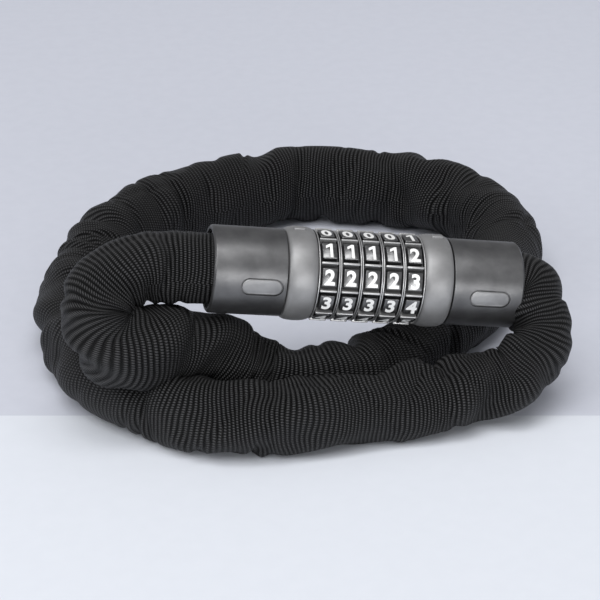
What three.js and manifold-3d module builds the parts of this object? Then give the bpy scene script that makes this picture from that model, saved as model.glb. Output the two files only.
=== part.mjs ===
// Combination chain lock: a five-dial cylinder lock closed on a chain that runs in a fabric sleeve.
// Millimetres, +Z up. The lock's own axis is local X, its index line is local +Z and its front is local -Y.
import * as THREE from "three";
import { mergeVertices } from "three/addons/utils/BufferGeometryUtils.js";
import Module from "manifold-3d";

const wasm = await Module();
wasm.setup();

// ---- driving dimensions ----
const GAP = 0.3; // clear space between pieces that touch
const LOCK_CENTRE = new THREE.Vector3(14.5, -45, 54);
const LOCK_PITCH = 8; // degrees, right end lower
const LOCK_ROLL = 5; // degrees, index line tipped back
const PART_SHIFT = new THREE.Vector3(-0.901, -18.799, 0.273); // puts the origin under the middle of the part

const HALF_LENGTH = 61; // lock, end to end, is twice this
const SHELL = { radius: 17, wall: 1.8, chamfer: 0.6, innerEnd: 32.8 };
const BULKHEAD = { near: 36, far: 42 };
const COLLAR = { inner: 21, outer: 32.5, radius: 18.3, bore: 8.3 };
const DIAL = { count: 5, pitch: 8.4, radius: 18, bore: 11.8, grooveRadius: 12.7, digits: 10 };
const CODE_RING = { width: 5, offset: -3.9, bore: 8.3, radius: 11.4, ribRadius: 12.3, gate: 3.4, gateRadius: 10.2 };
const CORE_TUBE = { left: -41.7, right: 31, inner: 6.2, outer: 8, slotLeft: -16, slotWidth: 3.2 };
const BOLT = { left: -24, right: 43.3, radius: 3.2, head: 5, toothOffset: 1.6, toothLength: 2.4, toothTip: 9.5 };
const INLAY = { length: 16.5, width: 7, depth: 0.9, left: -42.3, right: 47.4 };
const INDEX_TAB = { x: 27.4, length: 4.6, width: 3, bottom: 17.3, top: 19 };
const CHAIN_PIN = { x: 51.5, radius: 2.5, bottom: -16.6, top: 15.9 };
const CLAMP = { far: 59.5, near: 56.5, inner: 13.4, outer: 14.9 };
const LINK = { wire: 4.8, innerLength: 22, innerWidth: 7.6 };
const SLEEVE = { radius: 13, bore: 11.8, sides: 12, entry: 56 };
const STRETCH_START = 770; // distance along the sleeve where its slack length starts
const PLUG_END_START = 842; // distance along the sleeve where it starts to ride on the plug

// Centre line of the sleeve from the lock's left rim round the coil to its right rim.
const ROUTE = [
  [-46, -45, 62.5], [-59, -45, 64.2], [-73, -46.5, 64], [-84.5, -51, 59.5], [-90, -58, 51.5],
  [-86, -63, 44], [-75, -61.5, 40], [-61, -54, 36.5], [-46, -48.8, 28], [-33, -48.5, 18.5],
  [-18, -53, 13.3], [6, -53, 13], [26, -44, 13], [46, -28.5, 13], [66, -6.5, 13],
  [86, 17, 13], [98, 45, 14.5], [96, 76, 15], [76, 99, 15], [44, 113, 15],
  [10, 119, 15], [-22, 111, 15], [-52, 98, 15], [-76, 77, 15], [-90, 44, 14],
  [-97, 14, 13], [-94, -19, 13], [-81, -50, 13], [-57, -72, 13], [-26, -81, 13],
  [6, -79.7, 13], [38, -75.5, 13], [62, -73, 16], [75, -71.9, 20.2], [84.5, -68.2, 24.4],
  [89.4, -61.8, 30.2], [89.2, -54.6, 36.8], [84.6, -48.8, 42.2], [77.5, -45.6, 45.2],
];

// ---- frames and solids ----
const lockFrame = new THREE.Matrix4()
  .makeRotationFromEuler(new THREE.Euler(0, THREE.MathUtils.degToRad(LOCK_PITCH), 0))
  .multiply(new THREE.Matrix4().makeRotationX(THREE.MathUtils.degToRad(-LOCK_ROLL)))
  .setPosition(LOCK_CENTRE);
const lockPoint = (x) => new THREE.Vector3(x, 0, 0).applyMatrix4(lockFrame);

function solidOf(geometry) {
  const bare = new THREE.BufferGeometry().setAttribute(
    "position",
    (geometry.index ? geometry.toNonIndexed() : geometry).getAttribute("position"),
  );
  const merged = mergeVertices(bare, 1e-4);
  return new wasm.Manifold(
    new wasm.Mesh({
      numProp: 3,
      vertProperties: new Float32Array(merged.attributes.position.array),
      triVerts: new Uint32Array(merged.index.array),
    }),
  );
}

function geometryOf(solid) {
  const mesh = solid.getMesh();
  const geometry = new THREE.BufferGeometry()
    .setAttribute("position", new THREE.BufferAttribute(mesh.vertProperties.slice(), 3))
    .setIndex(new THREE.BufferAttribute(mesh.triVerts.slice(), 1))
    .toNonIndexed();
  geometry.computeVertexNormals();
  return geometry;
}

// A body turned about the lock axis; the profile is [x, radius] with the outside running towards +x.
function turned(profile, segments = 36) {
  const points = profile.map(([x, radius]) => new THREE.Vector2(radius, x));
  return new THREE.LatheGeometry(points, segments).rotateZ(-Math.PI / 2);
}

const ring = (left, right, inner, outer, segments) =>
  turned([[left, inner], [left, outer], [right, outer], [right, inner], [left, inner]], segments);

const mirrored = (profile) => profile.map(([x, radius]) => [-x, radius]).reverse();

function block(x0, x1, y0, y1, z0, z1) {
  return new THREE.BoxGeometry(x1 - x0, y1 - y0, z1 - z0).translate((x0 + x1) / 2, (y0 + y1) / 2, (z0 + z1) / 2);
}

// A pill-shaped plate facing local -Y, lying between two distances from the axis.
function pill(centreX, length, width, near, far) {
  const half = length / 2 - width / 2;
  const shape = new THREE.Shape();
  shape.absarc(half, 0, width / 2, -Math.PI / 2, Math.PI / 2);
  shape.absarc(-half, 0, width / 2, Math.PI / 2, (3 * Math.PI) / 2);
  return new THREE.ExtrudeGeometry(shape, { depth: far - near, bevelEnabled: false, curveSegments: 5 })
    .rotateX(Math.PI / 2)
    .translate(centreX, -near, 0);
}

const rodAlongZ = (x, radius, z0, z1) =>
  new THREE.CylinderGeometry(radius, radius, z1 - z0, 16).rotateX(Math.PI / 2).translate(x, 0, (z0 + z1) / 2);

// ---- the assembly ----
const part = new THREE.Group();
part.position.copy(PART_SHIFT);
const lock = new THREE.Group();
lock.applyMatrix4(lockFrame);
part.add(lock);

function add(parent, name, geometry, color, metalness = 0.8, roughness = 0.45) {
  const mesh = new THREE.Mesh(geometry, new THREE.MeshStandardMaterial({ color, metalness, roughness }));
  mesh.name = name;
  parent.add(mesh);
}

const shellProfile = [
  [-HALF_LENGTH, SHELL.radius - SHELL.chamfer],
  [-HALF_LENGTH + SHELL.chamfer, SHELL.radius],
  [-SHELL.innerEnd, SHELL.radius],
  [-SHELL.innerEnd, SHELL.radius - SHELL.wall],
  [-BULKHEAD.near, SHELL.radius - SHELL.wall],
  [-BULKHEAD.near, 0],
  [-BULKHEAD.far, 0],
  [-BULKHEAD.far, SHELL.radius - SHELL.wall],
  [-HALF_LENGTH, SHELL.radius - SHELL.wall],
  [-HALF_LENGTH, SHELL.radius - SHELL.chamfer],
];
const withBore = (profile, bore) => profile.map(([x, radius]) => [x, radius === 0 ? bore : radius]);

function endShell(profile, inlayX, pinX) {
  return solidOf(turned(profile, 36))
    .subtract(solidOf(pill(inlayX, INLAY.length, INLAY.width, SHELL.radius - INLAY.depth, SHELL.radius + 1)))
    .subtract(solidOf(rodAlongZ(pinX, CHAIN_PIN.radius + GAP, CHAIN_PIN.bottom - 2, CHAIN_PIN.top + GAP)));
}

// The inlay's face follows the round of the shell.
function inlayPiece(centreX) {
  const size = [INLAY.length - 2 * GAP, INLAY.width - 2 * GAP];
  return solidOf(pill(centreX, ...size, SHELL.radius - INLAY.depth + GAP, SHELL.radius + 1)).intersect(
    solidOf(ring(centreX - 12, centreX + 12, 1, SHELL.radius + 0.2, 96)),
  );
}

const collarProfile = [
  [-COLLAR.outer, 17], [-31.6, 17.8], [-30, 18.2], [-28, COLLAR.radius], [-25, COLLAR.radius],
  [-22.8, 18.1], [-21.4, 17.6], [-COLLAR.inner, 17], [-COLLAR.inner, COLLAR.bore],
  [-COLLAR.outer, COLLAR.bore], [-COLLAR.outer, 17],
];

function collar(profile, tabX) {
  const half = INDEX_TAB.length / 2;
  const slot = block(tabX - half - GAP, tabX + half + GAP, -INDEX_TAB.width / 2 - GAP, INDEX_TAB.width / 2 + GAP,
    INDEX_TAB.bottom - GAP, 20);
  return solidOf(turned(profile, 36)).subtract(solidOf(slot));
}

// Left end: fixed to the barrel.
add(lock, "left_end_shell", geometryOf(endShell(withBore(shellProfile, COLLAR.bore), INLAY.left, -CHAIN_PIN.x)), 0x54565b);
add(lock, "left_collar", geometryOf(collar(collarProfile, -INDEX_TAB.x)), 0xb6b9bc);

// Right end: the plug, whose collar stays on the barrel.
const keyway = block(COLLAR.inner - 1, COLLAR.outer + 1, -CODE_RING.gate / 2, CODE_RING.gate / 2, 6, CODE_RING.gateRadius);
add(lock, "right_collar", geometryOf(collar(mirrored(collarProfile), INDEX_TAB.x).subtract(solidOf(keyway))), 0xb6b9bc);
add(lock, "right_end_shell", geometryOf(endShell(withBore(mirrored(shellProfile), BOLT.radius + GAP), INLAY.right, CHAIN_PIN.x)), 0x54565b);

for (const [side, sign] of [["left", -1], ["right", 1]]) {
  const tab = INDEX_TAB.length / 2;
  const tabX = sign * INDEX_TAB.x;
  add(lock, side + "_inlay", geometryOf(inlayPiece(sign < 0 ? INLAY.left : INLAY.right)), 0xb9bbbd);
  add(lock, side + "_index_tab",
    block(tabX - tab, tabX + tab, -INDEX_TAB.width / 2, INDEX_TAB.width / 2, INDEX_TAB.bottom, INDEX_TAB.top), 0xd8dadd);
  add(lock, side + "_chain_pin", rodAlongZ(sign * CHAIN_PIN.x, CHAIN_PIN.radius, CHAIN_PIN.bottom, CHAIN_PIN.top), 0x8f9296);
  const [near, far] = [sign * CLAMP.near, sign * CLAMP.far].sort((a, b) => a - b);
  add(lock, side + "_clamp_ring", ring(near, far, CLAMP.inner, CLAMP.outer, 20), 0x6e7175);
}

// Slotted tube that the dials turn on.
const tubeSlot = block(CORE_TUBE.slotLeft, CORE_TUBE.right + 1, -CORE_TUBE.slotWidth / 2, CORE_TUBE.slotWidth / 2, 3, 9);
add(lock, "core_tube",
  geometryOf(solidOf(ring(CORE_TUBE.left, CORE_TUBE.right, CORE_TUBE.inner, CORE_TUBE.outer, 20)).subtract(solidOf(tubeSlot))),
  0x9a9da1);

// Bolt: a shaft with one tooth for each dial.
const dialCentre = (i) => (i - (DIAL.count - 1) / 2) * DIAL.pitch;
let bolt = solidOf(turned([
  [BOLT.left, 0], [BOLT.left, BOLT.radius - 0.6], [BOLT.left + 0.8, BOLT.radius], [BULKHEAD.far + GAP, BOLT.radius],
  [BULKHEAD.far + GAP, BOLT.head], [BOLT.right, BOLT.head], [BOLT.right, 0],
], 16));
for (let i = 0; i < DIAL.count; i++) {
  const left = dialCentre(i) + BOLT.toothOffset;
  bolt = bolt.add(solidOf(block(left, left + BOLT.toothLength, -1.2, 1.2, 1, BOLT.toothTip)));
}
add(lock, "bolt", geometryOf(bolt), 0xa7aaad);

// Dials and the code rings that they turn.
const around = (count, make) => Array.from({ length: count }, (_, k) =>
  solidOf(make().rotateX((k * 2 * Math.PI) / count)));
for (let i = 0; i < DIAL.count; i++) {
  const x = dialCentre(i);
  const half = DIAL.pitch / 2 - GAP / 2;
  let dial = solidOf(turned([
    [x - half, DIAL.bore], [x - half, DIAL.radius], [x + half, DIAL.radius], [x + half, DIAL.bore], [x - half, DIAL.bore],
  ], 30));
  const left = x + CODE_RING.offset;
  let code = solidOf(ring(left, left + CODE_RING.width, CODE_RING.bore, CODE_RING.radius, 20));
  for (const groove of around(DIAL.digits, () => block(x - half - 1, x + half + 1, -1.1, 1.1, 11, DIAL.grooveRadius)))
    dial = dial.subtract(groove);
  for (const rib of around(DIAL.digits, () => block(left, left + CODE_RING.width, -0.8, 0.8, 11, CODE_RING.ribRadius)))
    code = code.add(rib);
  code = code.subtract(solidOf(block(left - 1, left + CODE_RING.width + 1, -CODE_RING.gate / 2, CODE_RING.gate / 2, 6, CODE_RING.gateRadius)));
  add(lock, "dial_" + (i + 1), geometryOf(dial), 0x26272a, 0.4, 0.5);
  add(lock, "code_ring_" + (i + 1), geometryOf(code), 0xb99a55);
}

// ---- sleeve ----
const asVectors = (points) => points.map((p) => new THREE.Vector3(...p));
const sleevePath = new THREE.CatmullRomCurve3(
  [lockPoint(-SLEEVE.entry), ...asVectors(ROUTE), lockPoint(SLEEVE.entry)], false, "centripetal");
sleevePath.arcLengthDivisions = 2000;
const sleeveLength = sleevePath.getLength();

// The stretch of a curve between two distances along it.
class CurveSpan extends THREE.Curve {
  constructor(curve, from, to) {
    super();
    const length = curve.getLength();
    Object.assign(this, { curve, from: from / length, to: to / length });
  }
  getPoint(t, target = new THREE.Vector3()) {
    return this.curve.getPointAt(Math.min(1, this.from + (this.to - this.from) * t), target);
  }
}

function polygon(radius, sides) {
  return Array.from({ length: sides }, (_, k) => {
    const angle = (2 * Math.PI * k) / sides;
    return new THREE.Vector2(radius * Math.cos(angle), radius * Math.sin(angle));
  });
}

function hose(from, to, stepLength) {
  const shape = new THREE.Shape(polygon(SLEEVE.radius, SLEEVE.sides));
  shape.holes.push(new THREE.Path(polygon(SLEEVE.bore, SLEEVE.sides).reverse()));
  const steps = Math.round((to - from) / stepLength);
  return new THREE.ExtrudeGeometry(shape, { steps, bevelEnabled: false, extrudePath: new CurveSpan(sleevePath, from, to) });
}

add(part, "sleeve", hose(0, STRETCH_START - GAP / 2, 11), 0x1c1c1f, 0, 0.95);
add(part, "sleeve_stretch", hose(STRETCH_START + GAP / 2, PLUG_END_START - GAP / 2, 12), 0x1c1c1f, 0, 0.95);
add(part, "sleeve_plug_end", hose(PLUG_END_START + GAP / 2, sleeveLength, 6), 0x1c1c1f, 0, 0.95);

// ---- chain ----
const chainPath = new THREE.CatmullRomCurve3(
  [lockPoint(-CHAIN_PIN.x), ...asVectors(ROUTE), lockPoint(CHAIN_PIN.x)], false, "centripetal");
chainPath.arcLengthDivisions = 2000;
const chainLength = chainPath.getLength();

// One link, long along X and flat in the XY plane.
function linkGeometry() {
  const bend = (LINK.innerWidth + LINK.wire) / 2;
  const straight = (LINK.innerLength - LINK.innerWidth) / 2;
  const centre = [];
  for (let k = 0; k <= 3; k++) {
    const angle = -Math.PI / 2 + (Math.PI * k) / 3;
    centre.push(new THREE.Vector3(straight + bend * Math.cos(angle), bend * Math.sin(angle), 0));
  }
  for (let k = 0; k <= 3; k++) {
    const angle = Math.PI / 2 + (Math.PI * k) / 3;
    centre.push(new THREE.Vector3(-straight + bend * Math.cos(angle), bend * Math.sin(angle), 0));
  }
  const sides = 5;
  const positions = [];
  const corner = (i, j) => {
    const at = centre[i % centre.length];
    const before = centre[(i + centre.length - 1) % centre.length];
    const after = centre[(i + 1) % centre.length];
    const along = after.clone().sub(before).normalize();
    const outward = new THREE.Vector3(along.y, -along.x, 0);
    const angle = (2 * Math.PI * j) / sides;
    return at.clone().addScaledVector(outward, (LINK.wire / 2) * Math.cos(angle))
      .add(new THREE.Vector3(0, 0, (LINK.wire / 2) * Math.sin(angle)));
  };
  for (let i = 0; i < centre.length; i++)
    for (let j = 0; j < sides; j++) {
      const [a, b, c, d] = [corner(i, j), corner(i + 1, j), corner(i + 1, j + 1), corner(i, j + 1)];
      for (const p of [a, b, c, a, c, d]) positions.push(p.x, p.y, p.z);
    }
  return new THREE.BufferGeometry().setAttribute("position", new THREE.Float32BufferAttribute(positions, 3));
}

// Links are set along the path, each turned a quarter turn from the one before it. Links of one run are joined
// at their bows; neighbouring runs hook into each other with clear space.
const RUN_LINKS = [8, 4, 3, 5, 4, 4, 4, 3, 3, 3];
const FREE_PITCH = LINK.innerLength - 2.1;
const firstCentre = LINK.innerLength / 2 - CHAIN_PIN.radius - GAP;
const linkCount = RUN_LINKS.reduce((sum, n) => sum + n, 0);
const freeJoints = RUN_LINKS.length - 1;
const joinedPitch = (chainLength - 2 * firstCentre - freeJoints * FREE_PITCH) / (linkCount - 1 - freeJoints);

// A link's line follows the chord of its own length, set half way between the chord and the arc.
function linkAt(distance, turnedUp) {
  const point = (s) => chainPath.getPointAt(THREE.MathUtils.clamp(s / chainLength, 0, 1));
  const reach = Math.min(LINK.innerLength / 2, distance, chainLength - distance);
  const [back, front] = [point(distance - reach), point(distance + reach)];
  const centre = back.clone().add(front).multiplyScalar(0.5).lerp(point(distance), 0.55);
  const along = front.sub(back).normalize();
  const side = new THREE.Vector3(0, 0, 1).cross(along).normalize();
  const up = along.clone().cross(side);
  const frame = turnedUp
    ? new THREE.Matrix4().makeBasis(along, up, side.clone().negate())
    : new THREE.Matrix4().makeBasis(along, side, up);
  return solidOf(linkGeometry().applyMatrix4(frame.setPosition(centre)));
}

let distance = firstCentre;
let index = 0;
RUN_LINKS.forEach((count, run) => {
  let solid = null;
  for (let k = 0; k < count; k++) {
    const link = linkAt(distance, index % 2 === 1);
    solid = solid ? solid.add(link) : link;
    distance += k < count - 1 ? joinedPitch : FREE_PITCH;
    index += 1;
  }
  add(part, "chain_run_" + String(run + 1).padStart(2, "0"), geometryOf(solid), 0x8b8d90);
});

export default part;
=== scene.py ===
"""Combination chain lock: looks. Metres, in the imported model's frame."""
import math

import bmesh
import bpy
import numpy as np
from mathutils import Matrix, Vector


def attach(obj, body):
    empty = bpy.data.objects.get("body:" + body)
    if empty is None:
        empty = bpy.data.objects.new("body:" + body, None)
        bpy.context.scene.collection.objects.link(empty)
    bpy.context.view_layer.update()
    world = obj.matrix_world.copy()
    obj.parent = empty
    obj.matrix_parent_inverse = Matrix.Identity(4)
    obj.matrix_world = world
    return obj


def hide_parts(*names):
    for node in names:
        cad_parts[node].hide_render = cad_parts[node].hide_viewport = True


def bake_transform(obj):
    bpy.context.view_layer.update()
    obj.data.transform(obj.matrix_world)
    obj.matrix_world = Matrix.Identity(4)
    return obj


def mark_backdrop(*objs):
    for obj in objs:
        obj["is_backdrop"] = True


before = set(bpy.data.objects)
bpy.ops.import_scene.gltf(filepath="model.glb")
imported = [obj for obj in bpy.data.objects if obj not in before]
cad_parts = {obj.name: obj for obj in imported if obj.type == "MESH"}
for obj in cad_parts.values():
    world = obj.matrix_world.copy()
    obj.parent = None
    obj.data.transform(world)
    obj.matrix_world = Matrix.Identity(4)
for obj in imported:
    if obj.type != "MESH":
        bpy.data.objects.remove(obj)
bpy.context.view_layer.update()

MM = 0.001
FOLD_SEED = 11
rng = np.random.default_rng(FOLD_SEED)

# ---- the part's own dimensions, in millimetres ----
PART_SHIFT = Vector((-0.901, -18.799, 0.273))
LOCK_CENTRE = Vector((14.5, -45, 54))
LOCK_PITCH, LOCK_ROLL = 8, 5
HALF_LENGTH = 61
SHELL_RADIUS, SHELL_BORE, SHELL_INNER_END = 17, 15.2, 32.8
WEB_START, WEB_END, WEB_BORE = 36, 42, 8.4  # the wall inside each shell
COLLAR_INNER, COLLAR_OUTER = 21, 32.5
DIALS, DIAL_PITCH, DIAL_BORE, DIGITS = 5, 8.4, 11.8, 10
INLAY_LENGTH, INLAY_WIDTH, INLAY_GAP = 16.5, 7, 1.1
INLAY_X = {"left": -42.3, "right": 47.4}
SLEEVE_ENTRY = 56
SLACK_START = 742  # distance along the sleeve where its slack length starts
ROUTE = [
    (-46, -45, 62.5), (-59, -45, 64.2), (-73, -46.5, 64), (-84.5, -51, 59.5), (-90, -58, 51.5),
    (-86, -63, 44), (-75, -61.5, 40), (-61, -54, 36.5), (-46, -48.8, 28), (-33, -48.5, 18.5),
    (-18, -53, 13.3), (6, -53, 13), (26, -44, 13), (46, -28.5, 13), (66, -6.5, 13),
    (86, 17, 13), (98, 45, 14.5), (96, 76, 15), (76, 99, 15), (44, 113, 15),
    (10, 119, 15), (-22, 111, 15), (-52, 98, 15), (-76, 77, 15), (-90, 44, 14),
    (-97, 14, 13), (-94, -19, 13), (-81, -50, 13), (-57, -72, 13), (-26, -81, 13),
    (6, -79.7, 13), (38, -75.5, 13), (62, -73, 16), (75, -71.9, 20.2), (84.5, -68.2, 24.4),
    (89.4, -61.8, 30.2), (89.2, -54.6, 36.8), (84.6, -48.8, 42.2), (77.5, -45.6, 45.2),
]

LOCK = (
    Matrix.Translation(PART_SHIFT + LOCK_CENTRE)
    @ Matrix.Rotation(math.radians(LOCK_PITCH), 4, "Y")
    @ Matrix.Rotation(math.radians(-LOCK_ROLL), 4, "X")
)


# ---- materials ----
def new_material(name):
    material = bpy.data.materials.new(name)
    material.use_nodes = True
    tree = material.node_tree
    return material, tree, tree.nodes["Principled BSDF"]


def add_node(tree, kind, **settings):
    node = tree.nodes.new(kind)
    for key, value in settings.items():
        if key in node.inputs:
            node.inputs[key].default_value = value
        else:
            setattr(node, key, value)
    return node


def two_tone(tree, factor, stops, dark, light):
    """A colour that runs from dark to light between two values of the factor."""
    ramp = add_node(tree, "ShaderNodeValToRGB")
    for element, stop, colour in zip(ramp.color_ramp.elements, stops, (dark, light)):
        element.position, element.color = stop, (*colour, 1)
    tree.links.new(factor, ramp.inputs["Fac"])
    return ramp.outputs["Color"]


def add_bump(tree, shader, height, strength, distance):
    bump = add_node(tree, "ShaderNodeBump", Strength=strength, Distance=distance)
    tree.links.new(height, bump.inputs["Height"])
    tree.links.new(bump.outputs["Normal"], shader.inputs["Normal"])


def surface(name, dark, light, metallic, rough, grain=900.0, grain_depth=0.00002, stretch=(1, 1, 1)):
    """A finish whose colour and roughness vary softly, with a fine grain in its bump."""
    material, tree, shader = new_material(name)
    link = tree.links.new
    place = add_node(tree, "ShaderNodeTexCoord")
    mapping = add_node(tree, "ShaderNodeMapping")
    mapping.inputs["Scale"].default_value = stretch
    link(place.outputs["Object"], mapping.inputs["Vector"])
    cloudy = add_node(tree, "ShaderNodeTexNoise", Scale=140.0, Detail=4.0)
    fine = add_node(tree, "ShaderNodeTexNoise", Scale=grain, Detail=2.0)
    for noise in (cloudy, fine):
        link(mapping.outputs["Vector"], noise.inputs["Vector"])
    link(two_tone(tree, cloudy.outputs["Fac"], (0.35, 0.65), dark, light), shader.inputs["Base Color"])
    roughness = add_node(tree, "ShaderNodeMapRange")
    roughness.inputs["To Min"].default_value, roughness.inputs["To Max"].default_value = rough
    link(fine.outputs["Fac"], roughness.inputs["Value"])
    link(roughness.outputs["Result"], shader.inputs["Roughness"])
    add_bump(tree, shader, fine.outputs["Fac"], 0.5, grain_depth)
    shader.inputs["Metallic"].default_value = metallic
    return material


def ribbed_fabric(name):
    """Black woven nylon: ribs round the sleeve, each a row of small raised threads, with a painted highlight on each
    rib crest and painted shade in the gaps between ribs and threads.
    """
    material, tree, shader = new_material(name)
    link = tree.links.new
    uv = add_node(tree, "ShaderNodeUVMap", uv_map="weave")
    drift = add_node(tree, "ShaderNodeTexNoise", Scale=0.45, Detail=0.6)
    link(uv.outputs["UV"], drift.inputs["Vector"])
    split = add_node(tree, "ShaderNodeSeparateXYZ")
    link(uv.outputs["UV"], split.inputs["Vector"])

    def math_node(operation, first, second=None):
        node = add_node(tree, "ShaderNodeMath", operation=operation)
        for socket, value in zip(node.inputs, (first, second)):
            if value is None:
                continue
            if isinstance(value, (int, float)):
                socket.default_value = value
            else:
                link(value, socket)
        return node.outputs[0]

    def ripple(phase):
        return math_node("ABSOLUTE", math_node("SINE", phase))

    # The UV map is in centimetres: x round the sleeve, y along it.
    rib_pitch, thread_pitch = 0.165, 0.1
    wander = math_node("MULTIPLY", math_node("SUBTRACT", drift.outputs["Fac"], 0.5), 0.7)
    along = math_node("ADD", split.outputs["Y"], wander)
    rib = ripple(math_node("MULTIPLY", along, math.pi / rib_pitch))
    row = math_node("FLOOR", math_node("DIVIDE", along, rib_pitch))
    shift = math_node("MULTIPLY", row, math.pi / 2)
    around = math_node("MULTIPLY", split.outputs["X"], math.pi / thread_pitch)
    dots = ripple(math_node("ADD", around, shift))
    threads = math_node("ADD", math_node("MULTIPLY", dots, 0.6), 0.4)
    height = math_node("MULTIPLY", math_node("POWER", rib, 0.8), threads)
    # Painted light: the colour follows the weave's height, so the crests get a painted highlight and the gaps between
    # ribs and threads get painted shade.
    colour = two_tone(tree, height, (0.5, 1.0), (0.0008, 0.0008, 0.0009), (0.052, 0.052, 0.054))
    link(colour, shader.inputs["Base Color"])
    add_bump(tree, shader, height, 0.9, 0.0008)
    shader.inputs["Roughness"].default_value = 0.48
    shader.inputs["Specular IOR Level"].default_value = 0.16
    shader.inputs["Sheen Weight"].default_value = 0.01
    shader.inputs["Sheen Roughness"].default_value = 0.5
    return material


GUNMETAL = surface("gunmetal_satin", (0.115, 0.115, 0.118), (0.155, 0.155, 0.158), 0.85, (0.36, 0.48))
SILVER = surface("silver_satin", (0.24, 0.24, 0.243), (0.29, 0.29, 0.293), 0.55, (0.42, 0.55))
INLAY = surface("inlay_satin", (0.24, 0.24, 0.245), (0.3, 0.3, 0.305), 0.5, (0.42, 0.55))
DIAL_BLACK = surface("dial_black", (0.006, 0.006, 0.007), (0.014, 0.014, 0.015), 0.0, (0.35, 0.5))
PAD = surface("pad_brushed", (0.12, 0.12, 0.122), (0.22, 0.22, 0.222), 0.95, (0.24, 0.38), stretch=(1, 6, 1))
RIB_SILVER = surface("rib_silver", (0.42, 0.42, 0.42), (0.56, 0.56, 0.56), 0.8, (0.35, 0.5))
PAINT = surface("digit_paint", (0.78, 0.78, 0.77), (0.9, 0.9, 0.89), 0.0, (0.45, 0.6))
STEEL = surface("link_steel", (0.35, 0.36, 0.37), (0.55, 0.56, 0.57), 0.95, (0.25, 0.45))
BRASS = surface("code_brass", (0.5, 0.36, 0.14), (0.7, 0.53, 0.25), 0.95, (0.25, 0.42))
SLEEVE = ribbed_fabric("sleeve_weave_painted_highlight")


# ---- mesh helpers ----
def make_object(name, vertices, faces, material, matrix=LOCK, sharp=35):
    mesh = bpy.data.meshes.new(name)
    mesh.from_pydata([tuple((matrix @ Vector(v)) * MM) for v in vertices], [], faces)
    work = bmesh.new()
    work.from_mesh(mesh)
    bmesh.ops.remove_doubles(work, verts=work.verts, dist=1e-7)
    bmesh.ops.recalc_face_normals(work, faces=work.faces)
    work.to_mesh(mesh)
    work.free()
    mesh.shade_smooth()
    mesh.set_sharp_from_angle(angle=math.radians(sharp))
    mesh.materials.append(material)
    piece = bpy.data.objects.new(name, mesh)
    bpy.context.scene.collection.objects.link(piece)
    return piece


def lathe(profile, segments=144):
    """Vertices and faces of a closed profile of (x, radius), turned about the lock axis."""
    count = len(profile)
    vertices, faces = [], []
    for k in range(segments):
        angle = 2 * math.pi * k / segments
        vertices += [(x, -r * math.sin(angle), r * math.cos(angle)) for x, r in profile]
    for k in range(segments):
        for i in range(count):
            a, b = k * count + i, k * count + (i + 1) % count
            c, d = (b + count) % len(vertices), (a + count) % len(vertices)
            faces.append((a, b, c, d))
    return vertices, faces


def rounded(profile, radius=0.25, steps=4):
    """The same closed profile with each corner rounded off."""
    points = [Vector(p) for p in profile]
    out = []
    for before, at, after in zip(points[-1:] + points[:-1], points, points[1:] + points[:1]):
        reach = min(radius, (before - at).length * 0.45, (after - at).length * 0.45)
        start = at + (before - at).normalized() * reach
        end = at + (after - at).normalized() * reach
        for k in range(steps + 1):
            t = k / steps
            out.append(tuple(start * (1 - t) ** 2 + at * 2 * t * (1 - t) + end * t**2))
    return out


def on_dial(x, angle, radius):
    """A point on the lock, angle measured from the index line towards the front."""
    return (x, -radius * math.sin(angle), radius * math.cos(angle))


def rounded_rectangle(width, height, corner, steps=4):
    points = []
    for cx, cy, start in ((1, 1, 0), (-1, 1, 90), (-1, -1, 180), (1, -1, 270)):
        for k in range(steps + 1):
            angle = math.radians(start + 90 * k / steps)
            points.append((
                cx * (width / 2 - corner) + corner * math.cos(angle),
                cy * (height / 2 - corner) + corner * math.sin(angle),
            ))
    return points


def plate(outline, place, bevel=0.2, depth=0.6):
    """A plate with a softened edge: place(u, v, h) gives the point at h above the plate's foot."""
    rings = [(1.0, 0.0), (1.0, depth - bevel), (0.5, depth - bevel * 0.3), (0.0, depth)]
    vertices, faces = [], []
    count = len(outline)
    widest = max(abs(u) for u, _ in outline)
    tallest = max(abs(v) for _, v in outline)
    for grow, h in rings:
        inset = bevel * (1 - grow)
        for u, v in outline:
            vertices.append(place(u * (1 - inset / widest), v * (1 - inset / tallest), h))
    for level in range(len(rings) - 1):
        for i in range(count):
            a, b = level * count + i, level * count + (i + 1) % count
            faces.append((a, b, b + count, a + count))
    faces.append(tuple(range(count))[::-1])
    faces.append(tuple(range((len(rings) - 1) * count, len(rings) * count)))
    return vertices, faces


def join_parts(parts):
    vertices, faces = [], []
    for part_vertices, part_faces in parts:
        offset = len(vertices)
        vertices += part_vertices
        faces += [tuple(i + offset for i in face) for face in part_faces]
    return vertices, faces


# ---- camera, floor and lights ----
CAMERA_AZIMUTH, CAMERA_ELEVATION, CAMERA_DISTANCE, CAMERA_FIELD = -9, 28, 750, 19.05
target = (Vector((-3, 0, 21.5)) + PART_SHIFT) * MM
azimuth, elevation = math.radians(CAMERA_AZIMUTH), math.radians(CAMERA_ELEVATION)
back = Vector((
    math.sin(azimuth) * math.cos(elevation),
    -math.cos(azimuth) * math.cos(elevation),
    math.sin(elevation),
))
camera_data = bpy.data.cameras.new("camera")
camera_data.angle = math.radians(CAMERA_FIELD)
camera = bpy.data.objects.new("camera", camera_data)
camera.location = target + back * CAMERA_DISTANCE * MM
camera.rotation_euler = (-back).to_track_quat("-Z", "Y").to_euler()
bpy.context.scene.collection.objects.link(camera)
bpy.context.scene.camera = camera


FLOOR_EDGE = -76  # the paler front of the floor ends here
FLOOR_REACH = 3000


def floor_piece(name, near, far, dark, light):
    across = Matrix.Rotation(azimuth, 4, "Z")
    corners = [(-FLOOR_REACH, near, 0), (FLOOR_REACH, near, 0), (FLOOR_REACH, far, 0), (-FLOOR_REACH, far, 0)]
    finish = surface(name + "_finish", dark, light, 0.0, (0.75, 0.9), grain=60)
    piece = make_object(name, corners, [(0, 1, 2, 3)], finish, across)
    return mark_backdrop(piece)


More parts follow.
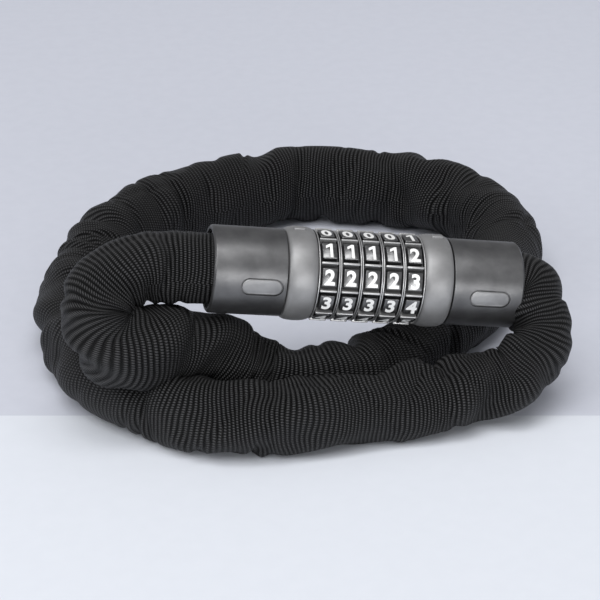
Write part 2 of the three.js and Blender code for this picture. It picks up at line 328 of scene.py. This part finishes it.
floor_piece("floor_back", FLOOR_EDGE, FLOOR_REACH, (0.575, 0.595, 0.67), (0.59, 0.61, 0.685))
floor_piece("floor_front", -FLOOR_REACH, FLOOR_EDGE, (0.7, 0.73, 0.79), (0.71, 0.74, 0.8))


def area_light(name, place, aim, size, power):
    data = bpy.data.lights.new(name, "AREA")
    data.shape = "RECTANGLE"
    data.size, data.size_y = size
    data.energy = power
    light = bpy.data.objects.new(name, data)
    light.location = place
    light.rotation_euler = (Vector(aim) - Vector(place)).to_track_quat("-Z", "Y").to_euler()
    bpy.context.scene.collection.objects.link(light)


def sun_light(name, direction, strength, softness):
    data = bpy.data.lights.new(name, "SUN")
    data.energy = strength
    data.angle = math.radians(softness)
    light = bpy.data.objects.new(name, data)
    light.rotation_euler = Vector(direction).to_track_quat("-Z", "Y").to_euler()
    bpy.context.scene.collection.objects.link(light)


sun_light("overhead", (0.25, 0.45, -1), 1.75, 45)
area_light("front_box", (0.2, -1.5, 0.28), (0, 0, 0.05), (1.0, 0.34), 8)
area_light("top_box", (0.05, -0.3, 1.3), (0, 0, 0.05), (0.7, 0.3), 3)
area_light("left_box", (-0.8, -0.35, 0.5), (0, 0, 0.05), (0.3, 0.5), 1.6)
world = bpy.data.worlds.new("studio")
world.use_nodes = True
world.node_tree.nodes["Background"].inputs["Color"].default_value = (0.96, 0.97, 1, 1)
world.node_tree.nodes["Background"].inputs["Strength"].default_value = 0.33
bpy.context.scene.world = world
bpy.context.scene.view_settings.view_transform = "Standard"


# ---- sleeve ----
def smooth_route(points, per_span=24):
    """Centripetal Catmull-Rom curve through the points."""
    p = np.array(points, float)
    p = np.vstack([2 * p[0] - p[1], p, 2 * p[-1] - p[-2]])
    out = []
    for i in range(1, len(p) - 2):
        q = p[i - 1 : i + 3]
        knots = np.concatenate([[0], np.cumsum(np.linalg.norm(np.diff(q, axis=0), axis=1) ** 0.5)])
        for t in np.linspace(knots[1], knots[2], per_span, endpoint=False):
            level = list(q)
            for depth in (1, 2):
                level = [
                    level[j] + (level[j + 1] - level[j]) * ((t - knots[j]) / (knots[j + depth] - knots[j]))
                    for j in range(len(level) - 1)
                ]
            # the last blend runs between the two middle knots
            out.append(level[0] + (level[1] - level[0]) * ((t - knots[1]) / (knots[2] - knots[1])))
    out.append(p[-2])
    return np.array(out)


RING_STEP = 1.0
SIDES = 120
HALF_WINDOW = 4  # rings on each side that the smoothing of the middle line looks at
ends = [np.array(LOCK @ Vector((x, 0, 0)) - PART_SHIFT) for x in (-SLEEVE_ENTRY, SLEEVE_ENTRY)]
line = smooth_route([ends[0]] + [np.array(p, float) for p in ROUTE] + [ends[1]]) + np.array(PART_SHIFT)
travel = np.concatenate([[0], np.cumsum(np.linalg.norm(np.diff(line, axis=0), axis=1))])
sleeve_length = travel[-1]
rings = int(sleeve_length / RING_STEP) + 1
s = np.linspace(0, sleeve_length, rings)
centre = np.stack([np.interp(s, travel, line[:, k]) for k in range(3)], 1)
kernel = np.hanning(2 * HALF_WINDOW + 1)
kernel /= kernel.sum()
padded_centre = np.vstack([np.repeat(centre[:1], HALF_WINDOW, 0), centre, np.repeat(centre[-1:], HALF_WINDOW, 0)])
smoothed = np.stack([np.convolve(padded_centre[:, k], kernel, "valid") for k in range(3)], 1)
centre[HALF_WINDOW:-HALF_WINDOW] = smoothed[HALF_WINDOW:-HALF_WINDOW]

# Half width and half height of the sleeve along its length, as (distance, half width, half height).
SECTION = [
    (0, 13.6, 13.6), (14, 13.8, 13.8), (45, 14.2, 14.4), (75, 14.0, 15.0), (130, 13.8, 14.8), (190, 13.6, 14.2),
    (240, 14.2, 14.8), (300, 15.0, 16.4), (350, 15.6, 17.4), (400, 15.8, 18.0), (470, 15.8, 18.2),
    (530, 15.6, 17.6), (590, 15.6, 16.6), (660, 14.8, 15.4), (700, 14.0, 14.4), (770, 13.4, 13.8),
    (830, 13.4, 13.7), (850, 12.6, 13.6), (866, 11, 13.6), (878, 11.6, 13.4), (885, 13.5, 13.5),
    (sleeve_length, 13.4, 13.4),
]
table = np.array(SECTION)
half_width = np.interp(s, table[:, 0], table[:, 1])
half_height = np.interp(s, table[:, 0], table[:, 2])


def swell(low, high, ramp=30):
    """1 between two distances along the sleeve, easing to 0 outside them."""
    ease = np.clip(np.minimum(s - low + ramp, high + ramp - s) / ramp, 0, 1)
    return ease * ease * (3 - 2 * ease)


chain_centre = centre.copy()  # the CAD chain follows this line; the looks lean off it below
BACK_PUFF = 6  # the fabric of the back run leans away from the lock
centre[:, 1] += BACK_PUFF * swell(390, 500, 60)
FRONT_TUCK = 3  # the front run lies a little nearer the lock
centre[:, 1] += FRONT_TUCK * swell(700, 830, 40)
TURN_TUCK = 6  # the right turn's fabric is pulled in towards the lock
centre[:, 0] -= TURN_TUCK * swell(852, 872, 18)
LYING_HEIGHT = 17  # a middle line lower than this belongs to a strand that lies on the floor
lying = centre[:, 2] < LYING_HEIGHT
centre[:, 2] = np.where(lying, np.maximum(centre[:, 2], half_height - 0.2), centre[:, 2])

tangent = np.gradient(centre, axis=0)
tangent /= np.linalg.norm(tangent, axis=1)[:, None]
side = np.cross([0, 0, 1], tangent)
side /= np.linalg.norm(side, axis=1)[:, None]
up = np.cross(tangent, side)
bend = np.gradient(tangent, axis=0) / RING_STEP
bend_amount = np.linalg.norm(bend, axis=1)
bend_angle = np.arctan2((bend * up).sum(1), (bend * side).sum(1))

theta = np.linspace(0, 2 * math.pi, SIDES, endpoint=False)
S, T = np.meshgrid(s, theta, indexing="ij")


def wrapped(angle):
    return (angle + math.pi) % (2 * math.pi) - math.pi


puff = np.zeros_like(S)
# Gathers: the sleeve is longer than its chain, so it rucks into slanting folds across its length.
for first_fold, gap, widths, depths, spreads, slants in (
    (20, (11, 26), (3.0, 7.0), (2.2, 4.4), (0.5, 1.2), 8),
    (16, (4, 11), (1.1, 2.6), (0.4, 1.5), (0.6, 2.0), 9),
):
    distance = first_fold
    while distance < sleeve_length - 10:
        at = rng.uniform(0, 2 * math.pi)
        spread = rng.uniform(*spreads)
        slant = rng.uniform(-slants, slants)
        width = rng.uniform(*widths)
        depth = rng.uniform(*depths)
        around = wrapped(T - at)
        offset = S - distance - slant * around
        fade = np.exp(-((around / spread) ** 2))
        puff -= depth * np.exp(-((offset / width) ** 2)) * fade
        for side_ridge in (-1, 1):
            ridge = np.exp(-(((offset - side_ridge * 2 * width) / (1.2 * width)) ** 2))
            puff += 0.4 * depth * ridge * fade
        distance += rng.uniform(*gap)
# Long soft waves and creases along the sleeve.
for _ in range(14):
    length, turns = rng.uniform(28, 80), rng.integers(1, 5)
    puff += rng.uniform(0.12, 0.42) * np.sin(2 * math.pi * S / length + turns * T + rng.uniform(0, 6.3))
for _ in range(26):
    at, angle = rng.uniform(20, sleeve_length - 20), rng.uniform(0, 2 * math.pi)
    crease = wrapped(T - angle - 0.015 * (S - at))
    depth, length = rng.uniform(0.4, 1.2), rng.uniform(14, 34)
    puff -= depth * np.exp(-((crease / 0.13) ** 2)) * np.exp(-(((S - at) / length) ** 2))
# On the inside of a bend the slack fabric bunches into close folds.
inner = np.clip(np.cos(T - bend_angle[:, None]), 0, 1) ** 1.5
tight = np.clip(bend_amount * 26 - 0.15, 0, 1)[:, None]
bunch = np.sin(2 * math.pi * S / 8.5 + 1.2 * np.sin(2 * T) + 0.9 * np.sin(S / 13))
puff += inner * tight * (1.3 * bunch - 1.4)
# Both ends are held round inside the lock.
held = np.clip(np.minimum(S, sleeve_length - S) / 22 - 0.1, 0, 1)
DEEPEST, PROUDEST = -4.6, 2.6
puff = np.clip(puff, DEEPEST, PROUDEST) * held

NARROWEST, WIDEST = 10.8, 18.7  # clear of the chain inside, and within the cord's thickness
radius_side = np.clip(half_width[:, None] + puff, NARROWEST, WIDEST)
radius_up = np.clip(half_height[:, None] + puff, NARROWEST, WIDEST)
points = (
    centre[:, None, :]
    + side[:, None, :] * (radius_side * np.cos(T))[..., None]
    + up[:, None, :] * (radius_up * np.sin(T))[..., None]
)
FLOOR_GAP = 0.25
points[..., 2] = np.maximum(points[..., 2], FLOOR_GAP)


WEAVE_RADIUS = 1.45  # centimetres, as the weave's UV map is


def sleeve_mesh(name, first, last, close_first, close_last):
    block = points[first : last + 1]
    count = block.shape[0]
    mesh = bpy.data.meshes.new(name)
    index = np.arange(count * SIDES).reshape(count, SIDES)
    a, b = index[:-1], index[1:]
    quads = np.stack([a, b, np.roll(b, -1, 1), np.roll(a, -1, 1)], -1).reshape(-1, 4)[:, ::-1]
    faces = quads.tolist()
    if close_first:
        faces.append(index[0].tolist())
    if close_last:
        faces.append(index[-1].tolist()[::-1])
    mesh.from_pydata((block.reshape(-1, 3) * MM).tolist(), [], faces)
    mesh.shade_smooth()
    weave = mesh.uv_layers.new(name="weave")
    loops = np.empty(len(mesh.loops), dtype=np.int32)
    mesh.loops.foreach_get("vertex_index", loops)
    girth = 2 * math.pi * WEAVE_RADIUS
    u = (loops % SIDES) / SIDES
    seam = np.zeros(len(loops), bool)
    quad_loops = len(quads) * 4
    columns = (loops[:quad_loops] % SIDES).reshape(-1, 4)
    seam[:quad_loops] = ((columns == 0) & (columns.max(1) == SIDES - 1)[:, None]).reshape(-1)
    u = np.where(seam, 1.0, u) * girth
    v = (s[first] + (loops // SIDES) * (s[1] - s[0])) / 10
    weave.data.foreach_set("uv", np.stack([u, v], 1).astype(np.float32).reshape(-1))
    mesh.materials.append(SLEEVE)
    piece = bpy.data.objects.new(name, mesh)
    bpy.context.scene.collection.objects.link(piece)
    return piece


seam_ring = int(np.argmin(np.abs(s - SLACK_START)))
cover = sleeve_mesh("sleeve_cover", 0, seam_ring, True, False)
slack = sleeve_mesh("sleeve_slack_cover", seam_ring, rings - 1, False, True)
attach(cover, "barrel")
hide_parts("sleeve")
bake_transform(slack)
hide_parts("sleeve_stretch", "sleeve_plug_end")


# ---- chain: the CAD links, smooth-shaded and moved to the middle of the sleeve ----
LEAN_STEP = 3  # each link point leans as the nearest of every third ring does
lean = (centre - chain_centre) * MM
for node_name in sorted(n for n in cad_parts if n.startswith("chain_run_")):
    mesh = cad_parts[node_name].data.copy()
    links = bpy.data.objects.new(node_name.replace("run", "links"), mesh)
    bpy.context.scene.collection.objects.link(links)
    weld = bmesh.new()
    weld.from_mesh(mesh)
    bmesh.ops.remove_doubles(weld, verts=weld.verts, dist=1e-5)
    weld.to_mesh(mesh)
    weld.free()
    where = np.empty(len(mesh.vertices) * 3)
    mesh.vertices.foreach_get("co", where)
    where = where.reshape(-1, 3)
    away = where[:, None, :] - chain_centre[None, ::LEAN_STEP, :] * MM
    nearest = (away**2).sum(2).argmin(1) * LEAN_STEP
    mesh.vertices.foreach_set("co", (where + lean[nearest]).reshape(-1))
    mesh.shade_smooth()
    mesh.materials.clear()
    mesh.materials.append(STEEL)
    if node_name == "chain_run_09":
        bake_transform(links)
    else:
        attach(links, "plug" if node_name == "chain_run_10" else "barrel")
    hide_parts(node_name)


# ---- shells, collars and inlays ----
def mirrored(profile, sign):
    return [(sign * x, r) for x, r in profile]


def pill_outline(length, width, steps=12):
    half = length / 2 - width / 2
    points = []
    for sign, start in ((1, -90), (-1, 90)):
        for k in range(steps + 1):
            angle = math.radians(start + 180 * k / steps)
            points.append((sign * half + width / 2 * math.cos(angle), width / 2 * math.sin(angle)))
    return points


def front_plate(centre_x, outline, low, high, bevel):
    """A plate on the shell's front that follows its round."""
    def place(u, v, h):
        angle = math.pi / 2 - v / SHELL_RADIUS
        return on_dial(centre_x + u, angle, low + h)
    return plate(outline, place, bevel=bevel, depth=high - low)


LATHE_SEGMENTS = 192
SHELL_PROFILE = rounded([
    (HALF_LENGTH, SHELL_BORE), (HALF_LENGTH, SHELL_RADIUS - 0.75), (HALF_LENGTH - 0.75, SHELL_RADIUS),
    (SHELL_INNER_END, SHELL_RADIUS), (SHELL_INNER_END, SHELL_BORE), (WEB_START, SHELL_BORE),
    (WEB_START, WEB_BORE), (WEB_END, WEB_BORE), (WEB_END, SHELL_BORE),
], 0.22)
COLLAR_PROFILE = [
    (COLLAR_OUTER - 0.15, WEB_BORE), (COLLAR_OUTER - 0.15, 16.6), (31.9, 17.35), (30.8, 17.85), (29.2, 18.15),
    (27.2, 18.3), (25.2, 18.25), (23.4, 18.05), (22.1, 17.7), (21.3, 17.2), (COLLAR_INNER, 16.6),
    (COLLAR_INNER, WEB_BORE),
]
TAB_X, TAB_FOOT, TAB_ROUND = 27.4, 17.6, 18

for side_name, sign in (("left", -1), ("right", 1)):
    body = "barrel" if side_name == "left" else "plug"
    shell = make_object(side_name + "_shell_turned", *lathe(mirrored(SHELL_PROFILE, sign), LATHE_SEGMENTS), GUNMETAL)
    recess = front_plate(
        INLAY_X[side_name], pill_outline(INLAY_LENGTH, INLAY_WIDTH), SHELL_RADIUS - 0.7, SHELL_RADIUS + 1.5, 0.01
    )
    cutter = make_object(side_name + "_recess", *recess, GUNMETAL)
    cut = shell.modifiers.new("recess", "BOOLEAN")
    cut.object, cut.operation, cut.solver = cutter, "DIFFERENCE", "EXACT"
    bpy.context.view_layer.update()
    shell.data = bpy.data.meshes.new_from_object(shell.evaluated_get(bpy.context.evaluated_depsgraph_get()))
    shell.modifiers.clear()
    bpy.data.objects.remove(cutter)
    shell.data.shade_smooth()
    shell.data.set_sharp_from_angle(angle=math.radians(35))
    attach(shell, body)
    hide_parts(side_name + "_end_shell")

    inlay_outline = pill_outline(INLAY_LENGTH - INLAY_GAP, INLAY_WIDTH - INLAY_GAP)
    inlay_plate = front_plate(INLAY_X[side_name], inlay_outline, SHELL_RADIUS - 0.68, SHELL_RADIUS + 0.12, 0.35)
    inlay = make_object(side_name + "_inlay_plate", *inlay_plate, INLAY)
    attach(inlay, body)
    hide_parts(side_name + "_inlay")

    turned = lathe(mirrored(COLLAR_PROFILE, sign), LATHE_SEGMENTS)
    collar = make_object(side_name + "_collar_turned", *turned, SILVER, sharp=50)
    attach(collar, "barrel")
    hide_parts(side_name + "_collar")

    def on_collar(u, v, h, sign=sign):
        return on_dial(sign * TAB_X + u, -v / TAB_ROUND, TAB_FOOT + h)

    tab = make_object(
        side_name + "_index_mark", *plate(rounded_rectangle(4.6, 2.8, 0.5), on_collar, 0.3, 1.4), INLAY
    )
    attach(tab, "barrel")
    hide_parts(side_name + "_index_tab")


# ---- dials ----
STEP = 2 * math.pi / DIGITS
PAD_SIZE = (5.7, 6.9)
RIB_SIZE = (6.6, 0.85)
PAD_FOOT, RIB_FOOT, NUMERAL_RADIUS = 15.4, 15.0, 17.19
RING_FLOOR, RING_EDGE, RIM_TOP = 15.2, 16.9, 17.35
DIAL_SEGMENTS = 120
ONE = [(0.05, -3.1), (1.15, -3.1), (1.15, 3.1), (0.25, 3.1), (-1.5, 2.1), (-1.5, 0.95), (0.05, 1.75)]


def digit_mesh(text, height=6.1):
    """Outline of one numeral as flat vertices and faces, centred, in millimetres."""
    curve = bpy.data.curves.new("numeral", "FONT")
    curve.body = text
    curve.size = 1.0
    curve.offset = 0.035
    curve.resolution_u = 4
    holder = bpy.data.objects.new("numeral", curve)
    bpy.context.scene.collection.objects.link(holder)
    bpy.context.view_layer.update()
    mesh = bpy.data.meshes.new_from_object(holder.evaluated_get(bpy.context.evaluated_depsgraph_get()))
    flat = [tuple(v.co) for v in mesh.vertices]
    faces = [tuple(p.vertices) for p in mesh.polygons]
    bpy.data.objects.remove(holder)
    low = [min(p[k] for p in flat) for k in (0, 1)]
    high = [max(p[k] for p in flat) for k in (0, 1)]
    scale = height / (high[1] - low[1])
    middle = [(low[k] + high[k]) / 2 for k in (0, 1)]
    return [((p[0] - middle[0]) * scale, (p[1] - middle[1]) * scale) for p in flat], faces


numerals = {str(n): digit_mesh(str(n)) for n in range(DIGITS)}
numerals["1"] = (ONE, [tuple(range(len(ONE)))])

for i in range(DIALS):
    x = (i - (DIALS - 1) / 2) * DIAL_PITCH
    body = f"dial_{i + 1}"
    half = DIAL_PITCH / 2 - 0.15
    ring_profile = rounded([
        (x - half, DIAL_BORE + 0.6), (x - half, RING_EDGE), (x - half + 0.5, RING_EDGE), (x - half + 0.5, RING_FLOOR),
        (x + half - 0.5, RING_FLOOR), (x + half - 0.5, RING_EDGE), (x + half, RING_EDGE), (x + half, DIAL_BORE + 0.6),
    ], 0.15, 2)
    base = make_object(f"dial_{i + 1}_ring", *lathe(ring_profile, DIAL_SEGMENTS), DIAL_BLACK)
    first_digit = 1 if i == DIALS - 1 else 0  # the dials read 0 0 0 0 1 at the index line
    pads, ribs, paint = [], [], []
    for k in range(DIGITS):
        angle = k * STEP
        middle = Matrix.Rotation(angle, 4, "X")
        across = Matrix.Rotation(angle + STEP / 2, 4, "X")

        def on_facet(u, v, h, middle=middle, x=x):
            return tuple(middle @ Vector((x + 0.15 + u, v, h)))

        def on_pad(u, v, h):
            return on_facet(u, v, PAD_FOOT + h)

        def on_rib(u, v, h, across=across, x=x):
            return tuple(across @ Vector((x + u, v, RIB_FOOT + h)))

        pads.append(plate(rounded_rectangle(*PAD_SIZE, 0.4), on_pad, 0.22, 1.75))
        outline, faces = numerals[str((k + first_digit) % DIGITS)]
        paint.append(([on_facet(u, v, NUMERAL_RADIUS) for u, v in outline], faces))
        ribs.append(plate(rounded_rectangle(*RIB_SIZE, 0.3), on_rib, 0.2, 2.9))
    rims = [
        lathe(rounded([(rim, 16.8), (rim, RIM_TOP), (rim + 0.4, RIM_TOP), (rim + 0.4, 16.8)], 0.12, 2), DIAL_SEGMENTS)
        for rim in (x - half, x + half - 0.4)
    ]
    parts = [
        base,
        make_object(f"dial_{i + 1}_rims", *join_parts(rims), RIB_SILVER),
        make_object(f"dial_{i + 1}_pads", *join_parts(pads), PAD),
        make_object(f"dial_{i + 1}_ribs", *join_parts(ribs), RIB_SILVER),
        make_object(f"dial_{i + 1}_numbers", *join_parts(paint), PAINT),
    ]
    for piece in parts:
        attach(piece, body)
    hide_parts(f"dial_{i + 1}")


# ---- inner pieces keep their CAD shape ----
for name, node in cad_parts.items():
    if node.hide_render:
        continue
    finish = BRASS if name.startswith("code_ring") else STEEL
    node.data.materials.clear()
    node.data.materials.append(finish)
